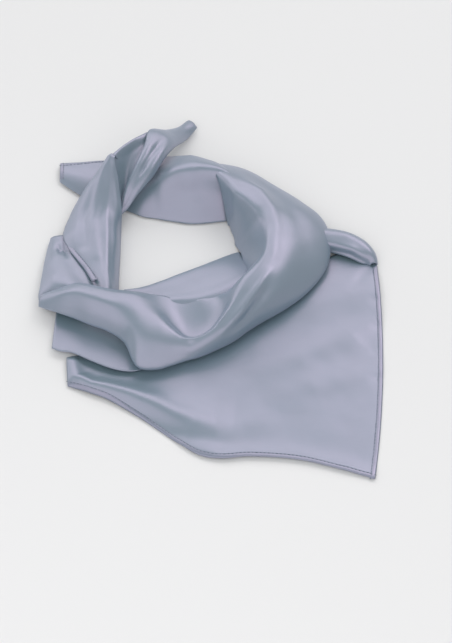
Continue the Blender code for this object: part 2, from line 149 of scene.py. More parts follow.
def fold_lift(laid, spot, power):
    """How far folds lift the cloth at a spot, with soft or with sharp sides."""
    lift = 0.0
    for points, middle, reach in laid:
        if (spot - middle).length > reach:
            continue
        nearest = (1e9, 0.0, 1.0)
        for (one, one_height, one_width), (other, other_height, other_width) in zip(
                points, points[1:]):
            run = other - one
            t = min(1.0, max(0.0, (spot - one).dot(run) / run.length_squared))
            away = (spot - one - t * run).length
            if away < nearest[0]:
                nearest = (away, one_height + t * (other_height - one_height),
                           one_width + t * (other_width - one_width))
        away, height, width = nearest
        lift += height * math.exp(-(away / width) ** power)
    return lift


def surface_normals(grid):
    """The outward normal at each point of a grid."""
    rows, columns = len(grid), len(grid[0])
    normals = []
    for r in range(rows):
        line = []
        for c in range(columns):
            along = grid[min(r + 1, rows - 1)][c] - grid[max(r - 1, 0)][c]
            across = grid[r][min(c + 1, columns - 1)] - grid[r][max(c - 1, 0)]
            line.append(across.cross(along).normalized())
        normals.append(line)
    return normals


def small_waves(spot):
    """The slight unevenness of cloth that lies free."""
    return sum(height * noise.noise(spot / length) for height, length in WAVES)


def creased(grid, folds, creases):
    """Move a grid's points along its normals by its soft folds, sharp creases and waves."""
    for row, normal_row in zip(grid, surface_normals(grid)):
        for point, normal in zip(row, normal_row):
            lift = fold_lift(folds, point, SOFT) + fold_lift(creases, point, SHARP)
            lift += small_waves(point)
            point += normal * lift
            point.z = max(point.z, LOWEST)


def cloth_piece(name, grid, places, material, thickness=CLOTH):
    """A named piece of cloth over a grid of points, with its own weave map in millimetres."""
    rows, columns = len(grid), len(grid[0])
    faces = []
    for r in range(rows - 1):
        for c in range(columns - 1):
            a = r * columns + c
            faces.append((a, a + 1, a + columns + 1, a + columns))
    mesh = bpy.data.meshes.new(name)
    mesh.from_pydata([MM * point for row in grid for point in row], [], faces)
    weave = mesh.uv_layers.new(name="weave")
    flat_places = [place for row in places for place in row]
    for loop in mesh.loops:
        weave.data[loop.index].uv = flat_places[loop.vertex_index]
    mesh.shade_smooth()
    mesh.materials.append(material)
    piece = bpy.data.objects.new(name, mesh)
    bpy.context.collection.objects.link(piece)
    wall = piece.modifiers.new("wall", "SOLIDIFY")
    wall.thickness, wall.offset = thickness * MM, 0.0
    return piece


def colour(hex_value):
    """An sRGB hex colour as the linear colour that a shader takes."""
    parts = [int(hex_value[i:i + 2], 16) / 255 for i in (1, 3, 5)]
    return (*(v / 12.92 if v <= 0.04045 else ((v + 0.055) / 1.055) ** 2.4 for v in parts), 1.0)


def add_node(tree, kind, settings=None, links=None):
    """A node with its settings, an input's by its name, and the sockets that feed its inputs."""
    node = tree.nodes.new(kind)
    for key, value in (settings or {}).items():
        if hasattr(node, key) and key not in node.inputs:
            setattr(node, key, value)
        else:
            node.inputs[key].default_value = value
    for key, socket in (links or {}).items():
        tree.links.new(socket, node.inputs[key])
    return node


def woven_satin(name, shade, light_shade, gleam, roughness):
    """Polyester charmeuse: long warp floats give a broad soft gleam that runs with the cloth.

    The ground is teal grey where it turns away from the light and the floats gleam lilac, as a
    shot weave does. Threads lie 0.1 mm apart, too fine for the render, so the streaks that they
    make are drawn at about 0.5 mm. Polyester's own IOR is about 1.6, and it is set higher and
    tinted for the strong gleam of the real cloth. A Mix node's colour sockets go by number,
    because its other kinds share their names.
    """
    material = bpy.data.materials.new(name)
    material.use_nodes = True
    tree = material.node_tree
    shader = tree.nodes["Principled BSDF"]
    weave = add_node(tree, "ShaderNodeUVMap", {"uv_map": "weave"})
    floats = add_node(tree, "ShaderNodeMapping",
                      {"Scale": (1 / STREAK_LENGTH, 1 / STREAK_WIDTH, 1)},
                      {"Vector": weave.outputs["UV"]})
    streaks = add_node(tree, "ShaderNodeTexNoise",
                       {"Scale": 1.0, "Detail": 3.0, "Roughness": 0.55},
                       {"Vector": floats.outputs["Vector"]})
    drift = add_node(tree, "ShaderNodeTexNoise", {"Scale": 1 / DRIFT_LENGTH, "Detail": 2.0},
                     {"Vector": weave.outputs["UV"]})
    tone = add_node(tree, "ShaderNodeMix", {"data_type": "RGBA"})
    tree.links.new(drift.outputs["Fac"], tone.inputs[0])
    tone.inputs[6].default_value = colour(shade)
    tone.inputs[7].default_value = colour(light_shade)
    tree.links.new(tone.outputs[2], shader.inputs["Base Color"])
    gloss = add_node(tree, "ShaderNodeMapRange",
                     {"From Min": 0.3, "From Max": 0.7,
                      "To Min": roughness - 0.05, "To Max": roughness + 0.06},
                     {"Value": streaks.outputs["Fac"]})
    tree.links.new(gloss.outputs["Result"], shader.inputs["Roughness"])
    relief = add_node(tree, "ShaderNodeBump", {"Strength": 0.25, "Distance": 0.00006},
                      {"Height": streaks.outputs["Fac"]})
    tree.links.new(relief.outputs["Normal"], shader.inputs["Normal"])
    shader.inputs["IOR"].default_value = 1.9
    shader.inputs["Specular IOR Level"].default_value = 1.0
    shader.inputs["Specular Tint"].default_value = colour(gleam)
    shader.inputs["Sheen Weight"].default_value = 0.25
    shader.inputs["Sheen Roughness"].default_value = 0.4
    shader.inputs["Sheen Tint"].default_value = colour("#c9c2de")
    return material


def panel_spot(line, share):
    """A place on the flat triangle, some share of the way down one of its lines."""
    x = line.top_x + share * (line.hem_x - line.top_x) + 4 * line.bow * share * (1 - share)
    return Vector((x, line.top_y + share * (line.hem_y - line.top_y), PANEL_HEIGHT))


satin = woven_satin("lilac_grey_charmeuse", "#6b848c", "#738b95", "#f8dfff", 0.36)

panel_folds = laid_folds(PANEL_FOLDS, lambda x, y: Vector((x, y, PANEL_HEIGHT)))
panel_grid = [[panel_spot(line, i / (LINE_POINTS - 1)) for i in range(LINE_POINTS)]
              for _, line in even_rows(POINT_PANEL, LINE_STEP)]
panel_places = [[(spot.x, spot.y) for spot in row] for row in panel_grid]
creased(panel_grid, panel_folds, ())
point_panel = cloth_piece("point_cloth", panel_grid, panel_places, satin)
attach(point_panel, "root")
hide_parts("point_panel")


# The point's hems
# The two free edges of the point are turned under, pressed and sewn down with grey polyester
# thread: a double strip 3 mm wide, with small puckers where the sewing draws it in.

HEM_WIDTH, HEM_THICKNESS = 3.0, 0.4
# Heights of the strip above the cloth, from one edge to the other.
HEM_PROFILE = (-0.16, 0.0, 0.08, 0.02, -0.24)
PUCKER_HEIGHT, PUCKER_LENGTH = 0.12, 3.1
OVERHANG = 0.2                  # how far the strip stands past the cloth's own edge
HEM_STEP, SIDE_POINTS = 1.1, 110    # spacing along the front hem, points along the side hem


def hem_grid(edge, inward):
    """Rows across a hem that follows the edge points, its inside edge lying inward of them."""
    grid, places = [], []
    spots = running_length(edge)
    for i, (spot, inside) in enumerate(zip(edge, inward)):
        row = []
        for k, height in enumerate(HEM_PROFILE):
            share = k / (len(HEM_PROFILE) - 1)
            pucker = PUCKER_HEIGHT * noise.noise(
                Vector((spots[i] / PUCKER_LENGTH, share, 4.0)))
            point = spot.lerp(inside, share)
            row.append(point + Vector((0, 0, height + pucker + CLOTH / 2)))
        grid.append(row)
        places.append([(spots[i], k * HEM_WIDTH / (len(HEM_PROFILE) - 1))
                       for k in range(len(HEM_PROFILE))])
    return grid, places


def on_panel(x, y):
    """A place on the point at its own height."""
    spot = Vector((x, y, PANEL_HEIGHT))
    spot.z += fold_lift(panel_folds, spot, SOFT)
    spot.z = max(spot.z + small_waves(Vector((x, y, PANEL_HEIGHT))), LOWEST)
    return spot


# The hems are the same satin in a darker copy: the darker tone is painted shade along the turned
# edges.
hem_satin_painted_shade = woven_satin("turned_hem_charmeuse_painted_shade", "#657a86", "#6d818e", "#f6dcfa", 0.34)

front_edge, front_inside = [], []
for _, line in even_rows(POINT_PANEL, HEM_STEP):
    length = math.dist((line.top_x, line.top_y), (line.hem_x, line.hem_y))
    for places, share in ((front_edge, 1 + OVERHANG / length),
                          (front_inside, 1 - HEM_WIDTH / length)):
        place = panel_spot(line, share)
        places.append(on_panel(place.x, place.y))
side_edge, side_inside = [], []
for i in range(SIDE_POINTS):
    place = panel_spot(POINT_PANEL[-1], i / (SIDE_POINTS - 1))
    side_edge.append(on_panel(place.x + OVERHANG, place.y))
    side_inside.append(on_panel(place.x - HEM_WIDTH, place.y))

# Real thread is about 0.15 mm thick. It is drawn coarser, so that the sewing shows.
STITCH_PITCH, STITCH_LENGTH, THREAD_WIDTH = 2.3, 1.5, 0.34
STITCH_INSET = 2.5              # the seam's distance from the edge
SEAM_LIFT = 0.5                 # its height above the middle of the cloth
SHORTEST, LONGEST = 0.8, 1.15   # how the stitches differ in length


def spun_thread():
    """Polyester sewing thread: matt against the satin, its twist seen as a fine fleck."""
    material = bpy.data.materials.new("grey_sewing_thread")
    material.use_nodes = True
    tree = material.node_tree
    shader = tree.nodes["Principled BSDF"]
    place = add_node(tree, "ShaderNodeTexCoord")
    twist = add_node(tree, "ShaderNodeTexNoise", {"Scale": 1 / (0.6 * MM), "Detail": 2.0},
                     {"Vector": place.outputs["Object"]})
    tone = add_node(tree, "ShaderNodeMix", {"data_type": "RGBA"})
    tree.links.new(twist.outputs["Fac"], tone.inputs[0])
    tone.inputs[6].default_value = colour("#56656f")
    tone.inputs[7].default_value = colour("#7f8c98")
    tree.links.new(tone.outputs[2], shader.inputs["Base Color"])
    shader.inputs["Roughness"].default_value = 0.6
    return material


def stitch_tree(material):
    """Stitches set along a line at an even pitch, each a little different in length.

    Random Value's number sockets go by place, because its other kinds share their names.
    """
    tree = bpy.data.node_groups.new("stitches", "GeometryNodeTree")
    face = tree.interface
    face.new_socket("Line", in_out="INPUT", socket_type="NodeSocketGeometry")
    for label in ("Pitch", "Stitch Length", "Thread Width"):
        face.new_socket(label, in_out="INPUT", socket_type="NodeSocketFloat")
    face.new_socket("Seed", in_out="INPUT", socket_type="NodeSocketInt")
    face.new_socket("Stitches", in_out="OUTPUT", socket_type="NodeSocketGeometry")
    given = add_node(tree, "NodeGroupInput")
    curve = add_node(tree, "GeometryNodeMeshToCurve", {}, {"Mesh": given.outputs["Line"]})
    places = add_node(tree, "GeometryNodeCurveToPoints", {"mode": "LENGTH"},
                      {"Curve": curve.outputs["Curve"], "Length": given.outputs["Pitch"]})
    vary = add_node(tree, "FunctionNodeRandomValue", {"data_type": "FLOAT"},
                    {"Seed": given.outputs["Seed"]})
    vary.inputs[2].default_value, vary.inputs[3].default_value = SHORTEST, LONGEST
    length = add_node(tree, "ShaderNodeMath", {"operation": "MULTIPLY"})
    tree.links.new(given.outputs["Stitch Length"], length.inputs[0])
    tree.links.new(vary.outputs[1], length.inputs[1])
    size = add_node(tree, "ShaderNodeCombineXYZ", {},
                    {"X": given.outputs["Thread Width"], "Y": given.outputs["Thread Width"],
                     "Z": length.outputs["Value"]})
    bead = add_node(tree, "GeometryNodeMeshUVSphere", {"Segments": 6, "Rings": 5, "Radius": 0.5})
    laid = add_node(tree, "GeometryNodeInstanceOnPoints", {},
                    {"Points": places.outputs["Points"], "Instance": bead.outputs["Mesh"],
                     "Rotation": places.outputs["Rotation"], "Scale": size.outputs["Vector"]})
    real = add_node(tree, "GeometryNodeRealizeInstances", {},
                    {"Geometry": laid.outputs["Instances"]})
    finish = add_node(tree, "GeometryNodeSetMaterial", {"Material": material},
                      {"Geometry": real.outputs["Geometry"]})
    result = add_node(tree, "NodeGroupOutput")
    tree.links.new(finish.outputs["Geometry"], result.inputs["Stitches"])
    return tree


def stitched(name, line, seed):
    """A row of stitches along a line of points, as a plain mesh."""
    mesh = bpy.data.meshes.new(name)
    mesh.from_pydata([MM * spot for spot in line], [(i, i + 1) for i in range(len(line) - 1)], [])
    seam = bpy.data.objects.new(name, mesh)
    bpy.context.collection.objects.link(seam)
    sewing = seam.modifiers.new("sewing", "NODES")
    sewing.node_group = stitches
    sizes = {"Pitch": STITCH_PITCH * MM, "Stitch Length": STITCH_LENGTH * MM,
             "Thread Width": THREAD_WIDTH * MM, "Seed": seed}
    for socket in stitches.interface.items_tree:
        if socket.name in sizes:
            sewing[socket.identifier] = sizes[socket.name]
    ready = seam.evaluated_get(bpy.context.evaluated_depsgraph_get())
    plain = bpy.data.meshes.new_from_object(ready)
    seam.modifiers.remove(sewing)
    seam.data = plain
    return seam


def seam_line(edge, inside):
    """The line of a seam between the edge of a hem and its inside edge."""
    share, lift = STITCH_INSET / HEM_WIDTH, Vector((0, 0, SEAM_LIFT))
    return [one.lerp(other, share) + lift for one, other in zip(edge, inside)]


stitches = stitch_tree(spun_thread())

front_hem = cloth_piece("front_hem", *hem_grid(front_inside, front_edge), hem_satin_painted_shade,
                        HEM_THICKNESS)
side_hem = cloth_piece("side_hem", *hem_grid(side_edge, side_inside), hem_satin_painted_shade, HEM_THICKNESS)
front_seam = stitched("front_stitches", seam_line(front_edge, front_inside), 3)
side_seam = stitched("side_stitches", seam_line(side_edge, side_inside), 5)
for hem, node in ((front_hem, "hem_front"), (side_hem, "hem_side"),
                  (front_seam, "hem_front"), (side_seam, "hem_side")):
    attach(hem, "root")
    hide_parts(node)


# The layer under the ring
# A second layer of the square, satin folded over on itself, that comes out below the ring at the
# lower left. It lies in the ring's shade, resting on the point, and ends in a soft edge.

ACROSS_STEP = 1.25              # spacing of the points across a stretch
ALONG_STEP = 1.3                # spacing of its sections
RIDGE, RIM = 2, 5               # the knots of a section that lie on its ridge and at its rim
# Two knots of the outer face, each some share of the way out, with its share of the belly.
BELLY_KNOTS = ((0.36, 0.96), (0.72, 0.8))

# A section stands upright over (x, y) and looks outwards along facing. It runs from its inner end
# through the lip and the ridge, over the outer face, which swells by belly, to the rim, and ends
# tuck inside the rim. The columns inner, lip, outer and tuck are distances in plan. Crisp says how
# sharp the ridge is pressed, from 0 to 1. A stretch whose first tuck is 0 ends at its rim.
Section = namedtuple("Section", "x y facing top inner inner_z lip lip_z outer outer_z belly"
                                " tuck tuck_z crisp")

UNDER_LAYER = (
    Section(-94.5, -36, 268, 3.4, 15, 3, 7, 3.2, 15, 3.8, 0, 0, 0, 0),
    Section(-89, -38, 268, 3, 16, 2.6, 7, 2.8, 15.5, 4, 0, 0, 0, 0),
    Section(-82, -40, 268, 3, 16, 2.6, 7, 2.8, 15, 4.2, 0, 0, 0, 0),
    Section(-71, -46, 270, 3, 17, 2.6, 7, 2.8, 15, 4.2, 0, 0, 0, 0),
    Section(-60, -52, 272, 3, 16, 2.6, 6, 2.8, 14.4, 4, 0, 0, 0, 0),
    Section(-53, -54, 272, 2.8, 15, 2.6, 5, 2.6, 14.2, 3.6, 0, 0, 0, 0),
    Section(-46, -56, 272, 2.6, 9, 2.4, 5, 2.4, 12, 3, 0, 0, 0, 0),
    Section(-41, -58, 274, 2.4, 6, 2.2, 3, 2.3, 8, 2.4, 0, 0, 0, 0),
)


def section_knots(row, tucked):
    """The points (distance outwards, height) that a section's cloth passes through."""
    fall = row.top - row.outer_z
    length = math.hypot(row.outer, fall)
    out_x, out_z = fall / length * row.belly, row.outer / length * row.belly
    knots = [(-row.inner, row.inner_z), (-row.lip, row.lip_z), (0.0, row.top)]
    for share, swell in BELLY_KNOTS:
        knots.append((share * row.outer + swell * out_x, row.top - share * fall + swell * out_z))
    knots.append((row.outer, row.outer_z))
    if tucked:
        knots.append((row.outer - row.tuck, row.tuck_z))
    return knots


def section_point(row, knots, marks, place):
    """The cloth's point at a place along a section, a little pointed at a crisp ridge."""
    out, z = smooth_values(knots, marks, place)
    if row.crisp > 0:
        side = slice(0, RIDGE + 1) if place < marks[RIDGE] else slice(RIDGE, None)
        sharp_out, sharp_z = smooth_values(knots[side], marks[side], place)
        out += row.crisp * (sharp_out - out)
        z += row.crisp * (sharp_z - z)
    angle = math.radians(row.facing)
    return Vector((row.x + out * math.cos(angle), row.y + out * math.sin(angle), z))


def stretch_spot(table, along, knot, out):
    """A place on a stretch, some way out from the ridge or the rim of its section there."""
    lengths = running_length([row[:2] for row in table])
    row = Section(*smooth_values(table, lengths, along))
    knots = section_knots(row, table[0].tuck != 0)
    marks = running_length(knots)
    return section_point(row, knots, marks, marks[knot] + out)


def stretch_cloth(table, folds=(), creases=()):
    """Points of a stretch of cloth and their places on it: along it, and out from its ridge."""
    tucked = table[0].tuck != 0

    def spot(along, out):
        return stretch_spot(table, along, RIDGE, out)

    widest = [max(values) for values in zip(*(
        (marks[RIDGE], marks[RIM] - marks[RIDGE], marks[-1] - marks[RIM])
        for marks in (running_length(section_knots(row, tucked)) for row in table)))]
    steps = [math.ceil(width / ACROSS_STEP) for width in widest]
    grid, places = [], []
    for along, row in even_rows(table, ALONG_STEP):
        knots = section_knots(row, tucked)
        marks = running_length(knots)
        ends = (0.0, marks[RIDGE], marks[RIM], marks[-1])
        cuts = [ends[part] + (ends[part + 1] - ends[part]) * i / count
                for part, count in enumerate(steps) for i in range(count)] + [marks[-1]]
        grid.append([section_point(row, knots, marks, cut) for cut in cuts])
        places.append([(along, cut - marks[RIDGE]) for cut in cuts])
    creased(grid, laid_folds(folds, spot), laid_folds(creases, spot))
    return grid, places


under_layer = cloth_piece("under_layer_cloth", *stretch_cloth(UNDER_LAYER), satin)
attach(under_layer, "root")
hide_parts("under_layer")


# The fold inside the ring
# A single layer of satin that lines the front of the ring: it leaves the roll under the cowl and
# slopes down to the table, where its folded edge bounds the opening.

INNER_FOLD = (
    Section(-53, -8, -84, 7.4, 1.6, 1.6, 1, 5.6, 8, 8.4, 0, -3, 6, 0),
    Section(-43, -6.5, -80, 7.2, 2.2, 1, 1.6, 5.4, 12, 9.8, 0.2, -4, 8, 0),
    Section(-31, -1.4, -66, 7, 2.6, 1, 1.8, 5, 20, 11.2, 0.3, -5, 9.6, 0),
    Section(-19, 5.2, -62, 6.6, 2.8, 1, 2, 4.6, 26, 11.6, 0.4, -6, 9.6, 0),
    Section(-7, 11.8, -60, 5.8, 3, 1, 2, 4, 28, 11.4, 0.4, -6, 9, 0),
    Section(5, 19.2, -58, 4, 3, 1, 2, 2.8, 26, 10.4, 0.4, -6, 8, 0),
    Section(13.5, 24.6, -58, 2.4, 2.4, 0.8, 1.6, 1.6, 18, 6.8, 0.2, -5, 5, 0),
    Section(18, 27.2, -58, 1.4, 1.6, 0.7, 1, 1.1, 13, 4, 0, -3, 3, 0),
)

inner_fold = cloth_piece("inner_fold_cloth", *stretch_cloth(INNER_FOLD), satin)
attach(inner_fold, "root")
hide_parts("inner_fold")


# The left wing
# The outermost fold of satin on the left, a flap that leans on the left band and ends in a corner.
# The edge that lies along the band keeps the square's hem, with its stitches.

LEFT_WING = (
    Section(-97.5, 38.5, 185, 5, 9, 5.2, 3, 5.4, 3.2, 3, 0.4, 0.8, 0.9, 0),
    Section(-96.5, 26, 185, 8, 13, 8.2, 5, 8, 6, 3.6, 0.8, 2.2, 1.0, 0),
    Section(-94.5, 15, 184, 10.6, 15.5, 10, 7, 10.2, 9, 4.4, 1.6, 3.5, 1.0, 0),
    Section(-91.5, 5, 183, 13, 18, 11, 8, 12, 12.5, 5, 2, 4, 1.0, 0),
    Section(-88, -4, 182, 15, 18.5, 11.4, 9, 13.2, 16.5, 5.4, 2.5, 4, 1.0, 0),
    Section(-84.5, -11, 180, 16.2, 17.5, 11.6, 9, 14, 20.5, 5.6, 2, 4, 1.0, 0),
    Section(-82.5, -15.5, 180, 16.2, 15.5, 11.6, 8, 13.8, 22, 5.6, 0, 4, 1.2, 0),
)

WING_CREASES = (
    (Fold(8, -1.6, 0, 1.4), Fold(14, -2.2, -2.4, 1.5), Fold(20, -2.6, 0, 1.4)),
    (Fold(6, -4.6, 0, 1.4), Fold(14, -5.2, -2.6, 1.6), Fold(25, -6, 0, 1.4)),
)

# A spot on the hemmed edge that lies along the left band.
EdgeSpot = namedtuple("EdgeSpot", "x y z")

WING_EDGE = (
    EdgeSpot(-92.4, 34, 7),
    EdgeSpot(-87.6, 21.6, 10.2),
    EdgeSpot(-82, 11.4, 12.2),
    EdgeSpot(-76.4, 1.6, 13.4),
    EdgeSpot(-72, -8, 15),
)

WING_HEM_THICKNESS = 0.5
WING_HEM_STEP = 1.2             # spacing of the points along it
WING_HEM_SLOPE = Vector((HEM_WIDTH, 1, 0.6))    # across it, up the side of the band

left_wing = cloth_piece("left_wing_cloth", *stretch_cloth(LEFT_WING, (), WING_CREASES), satin)
wing_edge = [Vector(spot) for _, spot in even_rows(WING_EDGE, WING_HEM_STEP)]
wing_inside = [spot + WING_HEM_SLOPE for spot in wing_edge]
wing_hem = cloth_piece("wing_hem", *hem_grid(wing_inside, wing_edge), hem_satin_painted_shade,
                       WING_HEM_THICKNESS)
wing_seam = stitched("wing_stitches", seam_line(wing_edge, wing_inside), 11)
for piece in (wing_hem, wing_seam):
    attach(piece, "root")
    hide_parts("left_wing")
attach(left_wing, "root")
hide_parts("left_wing")


# The left band
# The side of the ring, satin gathered into soft pleats that rise to the crossing, where the band
# lies over the back of the ring. Its last rows come down behind, hidden from the front.

LEFT_BAND = (
    Section(-62, -19, 185, 14.5, 5, 4, 3.5, 10, 5, 12, 1, 0, 0, 0),
    Section(-63, -9, 185, 14.5, 6, 1.6, 4.5, 9, 8, 12, 1, 0, 0, 0),
    Section(-66, 4, 185, 14.5, 9, 1.2, 6.5, 10, 11, 12, 1, 0, 0, 0),
    Section(-68, 17, 182, 15, 11, 1, 8, 11, 16, 10.8, 1.5, 0, 0, 0),
    Section(-70, 32, 178, 15.5, 13, 1, 10, 12, 22, 8.2, 2, 0, 0, 0),
    Section(-71, 43, 175, 16, 14, 1, 10.5, 12.5, 21, 5.5, 2.5, 0, 0, 0),
    Section(-71, 50, 172, 17, 14.4, 6, 11, 13.5, 19, 5.6, 2.5, 0, 0, 0),
    Section(-70.5, 56, 170, 18.5, 14.2, 12.4, 10.5, 16, 17.5, 7, 2.5, 0, 0, 0),
    Section(-69, 67, 165, 22.5, 11.8, 17.4, 8, 20.8, 12.8, 12, 2, 0, 0, 0),
    Section(-67, 76.5, 158, 27, 8.5, 22.6, 5, 25.4, 7.2, 18, 1.2, 0, 0, 0),
    Section(-64.5, 82.5, 152, 29.6, 3.8, 27.6, 2, 28.8, 3.8, 24.6, 0.6, 0, 0, 0),
    Section(-63.2, 85.8, 150, 30, 2.6, 29.4, 1.3, 29.8, 2.4, 27, 0.3, 0, 0, 0),
    Section(-62.4, 88, 150, 25.6, 4.6, 23, 2.4, 24.8, 2, 22, 0, 0, 0, 0),
    Section(-61.4, 92, 150, 18, 9, 16, 5, 17.2, 4, 15, 0, 0, 0, 0),
    Section(-60.8, 96, 150, 12.6, 11, 11, 6, 12, 5, 9.6, 0, 0, 0, 0),
)

LEFT_PLEATS = (
    (Fold(6, -2, 0, 1.6), Fold(20, -2, -0.8, 1.8), Fold(62, -5, -1.2, 2.2), Fold(100, -3, -0.2, 2)),
    (Fold(33, 3, -0.3, 3), Fold(62, 4, -0.8, 3), Fold(98, 2, -0.2, 3)),
    (Fold(42, 10, 0.6, 3), Fold(63, 9, 0.8, 3), Fold(92, 6, 0.2, 3)),
)

left_band = cloth_piece("left_band_cloth", *stretch_cloth(LEFT_BAND, LEFT_PLEATS), satin)
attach(left_band, "root")
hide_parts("left_band")


# The back band
# The rolled satin behind the opening, which flattens on the left into one end of the scarf. The
# tail's far edge and its end keep the square's hem, with its stitches.

BACK_BAND = (
    Section(12, 72, 96, 25, 12, 1, 6, 12, 29.6, 2.4, 2, 3, 0.9, 0),
    Section(6, 75, 104, 25.8, 20, 1, 10, 12, 29, 2.4, 4, 3, 0.9, 0),
    Section(-1, 77, 104, 25.6, 23.4, 1, 11, 12.6, 29.5, 2.4, 4.6, 3, 0.9, 0),
    Section(-8, 78, 101, 25.4, 25.4, 1, 11, 13.4, 30.5, 2.4, 5, 3, 0.9, 0),
    Section(-15, 77.5, 93, 25.2, 25, 1, 11, 14, 31, 2.4, 5, 4, 0.9, 0),
    Section(-23, 78, 92, 22.6, 24, 1, 11, 13, 32, 2.4, 4, 4, 0.9, 0),
    Section(-31, 77, 94, 18.4, 21.5, 1, 10, 12.2, 33.5, 2.4, 2.5, 4, 0.9, 0),
    Section(-38, 77, 96, 13.6, 20, 1, 9, 9.4, 34, 2.4, 1.2, 4, 0.9, 0),
    Section(-46, 78, 98, 10, 19.5, 1, 9, 7.4, 31, 2.4, 1, 4, 0.9, 0),
    Section(-57, 82, 100, 7.6, 18.5, 1, 9, 6, 26, 2.4, 1, 4, 0.9, 0),
    Section(-70, 85, 100, 6, 16, 1, 8, 4.8, 22, 2.6, 0.8, 3, 0.7, 0),
    Section(-84, 90, 96, 4.6, 14, 1.5, 7, 3.6, 15.5, 2.4, 0.5, 2.5, 0.7, 0),
    Section(-98, 96, 92, 3.6, 7.5, 1.6, 4, 3, 8.5, 2.2, 0.3, 2, 0.7, 0),
)

TAIL_HEM_START = 76             # along the band, where its hemmed edge comes out of the crossing
TAIL_END_WIDTH = 14.5
TAIL_POINTS, END_POINTS = 40, 24    # points along the two hems

back_band = cloth_piece("back_band_cloth", *stretch_cloth(BACK_BAND), satin)
band_length = running_length([row[:2] for row in BACK_BAND])[-1]
tail_edge, tail_inside = [], []
for i in range(TAIL_POINTS):
    along = TAIL_HEM_START + (band_length - TAIL_HEM_START) * i / (TAIL_POINTS - 1)
    for places, out in ((tail_edge, 0.0), (tail_inside, -HEM_WIDTH)):
        places.append(stretch_spot(BACK_BAND, along, RIM, out))
end_edge, end_inside = [], []
for i in range(END_POINTS):
    out = -TAIL_END_WIDTH * i / (END_POINTS - 1)
    for places, along in ((end_edge, band_length), (end_inside, band_length - HEM_WIDTH)):
        places.append(stretch_spot(BACK_BAND, along, RIM, out))
tail_hem = cloth_piece("tail_hem", *hem_grid(tail_inside, tail_edge), hem_satin_painted_shade, HEM_THICKNESS)
end_hem = cloth_piece("tail_end_hem", *hem_grid(end_edge, end_inside), hem_satin_painted_shade, HEM_THICKNESS)
tail_seam = stitched("tail_stitches", seam_line(tail_edge, tail_inside), 7)
end_seam = stitched("tail_end_stitches", seam_line(end_edge, end_inside), 9)
for piece in (tail_hem, end_hem, tail_seam, end_seam):
    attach(piece, "root")
    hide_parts("back_band")
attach(back_band, "root")
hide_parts("back_band")


# The scoop at the crossing
# The start of the scarf's other end: satin that comes from under the left band and stands up as a
# hollow scoop, open to the front. Behind, it comes down to rest on the back band.

SCOOP = (
    Section(-56.6, 65, 8, 12, 2, 12.8, 1, 12.4, 1.8, 12.2, 0, 0, 0, 0),
    Section(-55, 71, 8, 14, 4, 17, 2, 15, 3.4, 15.6, 0, 0, 0, 0),
    Section(-53.4, 83, 30, 18.4, 9.6, 24.4, 4, 20, 8.4, 21.4, 0, 0, 0, 0),
    Section(-52.2, 92.6, 42, 22.8, 13.6, 28.2, 6, 24.2, 13, 22.8, 0, 0, 0, 0),
    Section(-50.8, 101, 48, 27.6, 17.6, 28, 9, 28.4, 14, 24, 0, 0, 0, 0),
    Section(-52, 104, 48, 22, 16, 22.6, 8, 22.4, 15, 19, 0, 0, 0, 0),
    Section(-53, 106, 48, 15.4, 12.6, 16, 6.5, 15.8, 15, 13, 0, 0, 0, 0),
    Section(-53.8, 107.4, 48, 9.6, 9, 10.4, 4.6, 10, 14, 8, 0, 0, 0, 0),
    Section(-54.2, 108.2, 48, 6.2, 6.4, 6.8, 3.2, 6.4, 12, 5.4, 0, 0, 0, 0),
)

scoop = cloth_piece("scoop_cloth", *stretch_cloth(SCOOP), satin)
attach(scoop, "root")
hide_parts("crossing_scoop")


# The crossing end
# The other end of the scarf, satin gathered into a pleated strip that leaves the scoop, crosses
# over the back band and tapers down to the table on the far side.

CROSSING_END = (
    Section(-58.6, 54.8, -30, 9.2, 1.6, 8.4, 1, 9, 2, 8, 0.3, 0, 0, 0),
    Section(-56, 58.5, -30, 11.5, 2, 10.6, 1.2, 11.3, 3, 9.4, 0.4, 0, 0, 0),
    Section(-51, 67, -30, 19, 3.4, 18.2, 2, 18.8, 5.4, 16, 0.8, 0, 0, 0),
    Section(-44, 79.5, -28, 25, 4.4, 24, 2.4, 24.8, 8, 20.4, 1.3, 0, 0, 0),
    Section(-37.4, 94, -26, 27.2, 6, 27, 3.2, 27.4, 8.4, 22, 1.3, 0, 0, 0),
    Section(-31.5, 108, -28, 24.6, 9.6, 25.2, 4.8, 25.6, 8.4, 17.4, 1.3, 0, 0, 0),
    Section(-25, 119.6, -34, 15.6, 6, 14.8, 3, 15.8, 6.8, 10, 1, 0, 0, 0),
    Section(-18.6, 129.8, -42, 8.8, 4.8, 7.4, 2.6, 8.6, 4.8, 4.6, 0.6, 0, 0, 0),
    Section(-13.6, 138, -46, 5.6, 4.6, 4.6, 2.6, 5.4, 4, 3.4, 0.4, 0, 0, 0),
    Section(-12.6, 139.8, -46, 4.8, 4.2, 4, 2.4, 4.6, 3.6, 2.8, 0.2, 0, 0, 0),
)

CROSSING_PLEATS = (
    (Fold(14, -2, 0.3, 1.6), Fold(30, -3, 0.8, 2), Fold(46, -3.6, 0.8, 2), Fold(62, -5, 0.2, 2.6)),
    (Fold(6, 0.8, -0.6, 1.2), Fold(28, 1, -1.8, 1.6), Fold(46, 1.6, -1.8, 1.8), Fold(60, 2, 0, 2)),
    (Fold(12, 4, 0.2, 1.4), Fold(30, 6, 0.9, 1.8), Fold(48, 6.4, 0.9, 2), Fold(66, 6, 0, 2)),
)

crossing_end = cloth_piece("crossing_end_cloth", *stretch_cloth(CROSSING_END, CROSSING_PLEATS),
                           satin)
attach(crossing_end, "root")
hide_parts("crossing_end")


# The turn on the right
# Where the ring's outer layer of satin turns over at the right and goes down into the point: a
# short rounded lip with a soft pleat along it, laid on the point's upper edge.

